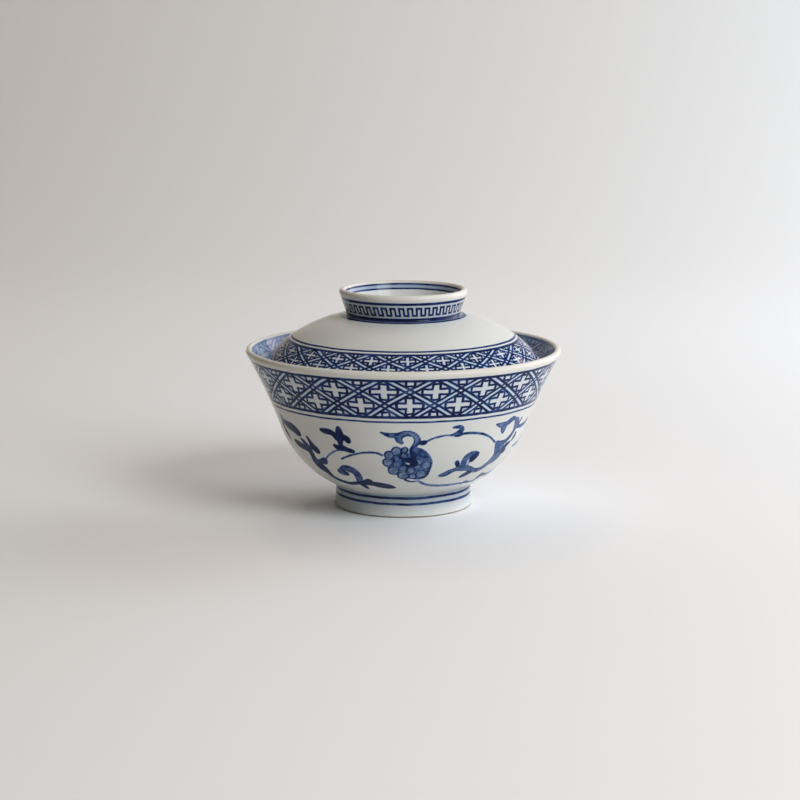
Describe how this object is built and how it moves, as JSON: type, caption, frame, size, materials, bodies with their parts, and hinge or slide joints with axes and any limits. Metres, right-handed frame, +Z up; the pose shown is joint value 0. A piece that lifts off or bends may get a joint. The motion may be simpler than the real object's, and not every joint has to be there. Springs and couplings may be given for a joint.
{
  "type": "donburi bowl with lid",
  "caption": "Flared porcelain bowl on a foot ring, with a domed lift-off lid that seats inside the rim and carries a flared grip ring.",
  "frame": {"origin": "on the table, on the bowl's axis, at the foot ring's underside", "axes": "+Z up the bowl's axis, through the lid; +Y away from the viewer of the picture, +X to the viewer's right"},
  "size_m": [0.155, 0.155, 0.1079],
  "materials": {
    "glazed_porcelain": "gloss clear glaze over cobalt blue painting on white porcelain, bare on the ring that stands on the table"
  },
  "bodies": {
    "bowl": {"bowl_wall": "glazed_porcelain", "foot_ring": "glazed_porcelain"},
    "lid": {"lid_dome": "glazed_porcelain", "grip_ring": "glazed_porcelain"}
  },
  "joints": [
    {"name": "lid_lift", "type": "slide", "parent": "bowl", "child": "lid", "axis": [0, 0, 1], "range_m": [0, 0.1]}
  ]
}
